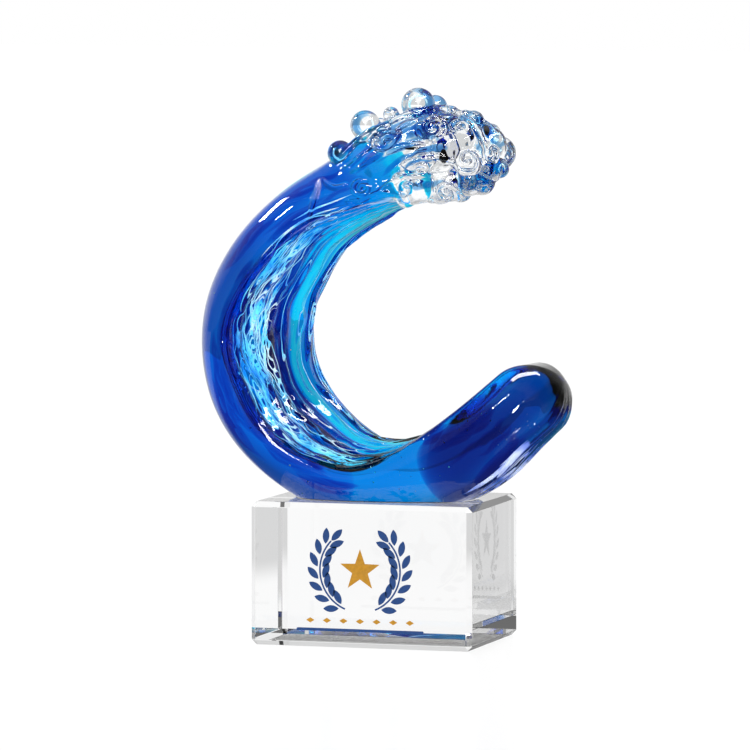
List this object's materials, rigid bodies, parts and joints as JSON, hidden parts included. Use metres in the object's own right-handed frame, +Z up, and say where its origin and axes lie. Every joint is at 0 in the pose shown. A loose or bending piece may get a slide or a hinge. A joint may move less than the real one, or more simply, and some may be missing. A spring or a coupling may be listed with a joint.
{
  "type": "glass wave sculpture",
  "caption": "Curled ocean wave of hand-worked blue and clear glass with a foaming crest, bonded to a bevelled block of optical crystal.",
  "frame": {"origin": "middle of the crystal block's underside, where the sculpture rests", "axes": "+X to the viewer's right along the block's front edge, -Y out of the printed front face towards the viewer, +Z up"},
  "size_m": [0.1323, 0.0581, 0.1938],
  "materials": {
    "crystal": "polished optical crystal with flat bevelled edges",
    "clear_glass": "fire-polished clear soda glass with faint threads",
    "blue_glass": "transparent cobalt to azure glass with paler streaks and small bubbles",
    "adhesive": "cured clear adhesive film",
    "blue_ink": "printed ink, blue",
    "amber_ink": "printed ink, amber"
  },
  "bodies": {
    "root": {"base_block": "crystal", "bond_film": "adhesive", "crest_gather": "clear_glass", "crest_lobe_01": "clear_glass", "crest_lobe_02": "clear_glass", "crest_lobe_03": "clear_glass", "crest_lobe_04": "clear_glass", "crest_lobe_05": "clear_glass", "crest_lobe_06": "clear_glass", "crest_lobe_07": "clear_glass", "crest_lobe_08": "clear_glass", "foam_drop_01": "clear_glass", "foam_drop_02": "clear_glass", "foam_drop_03": "clear_glass", "foam_drop_04": "clear_glass", "foam_drop_05": "clear_glass", "foam_drop_06": "clear_glass", "foam_drop_07": "clear_glass", "foam_drop_08": "clear_glass", "foam_drop_09": "clear_glass", "foam_drop_10": "clear_glass", "foam_drop_11": "clear_glass", "foam_drop_12": "clear_glass", "foam_drop_13": "clear_glass", "foam_drop_14": "clear_glass", "foam_drop_15": "clear_glass", "foam_drop_16": "clear_glass", "foam_drop_17": "clear_glass", "foam_drop_18": "clear_glass", "foam_drop_19": "clear_glass", "foam_drop_20": "clear_glass", "print_diamonds": "amber_ink", "print_rule": "blue_ink", "print_sprig_left": "blue_ink", "print_sprig_right": "blue_ink", "print_star": "amber_ink", "swirl_bead_01": "clear_glass", "swirl_bead_02": "clear_glass", "swirl_bead_03": "clear_glass", "swirl_bead_04": "clear_glass", "swirl_bead_05": "clear_glass", "wave_casing": "clear_glass", "wave_core": "blue_glass"}
  },
  "joints": []
}
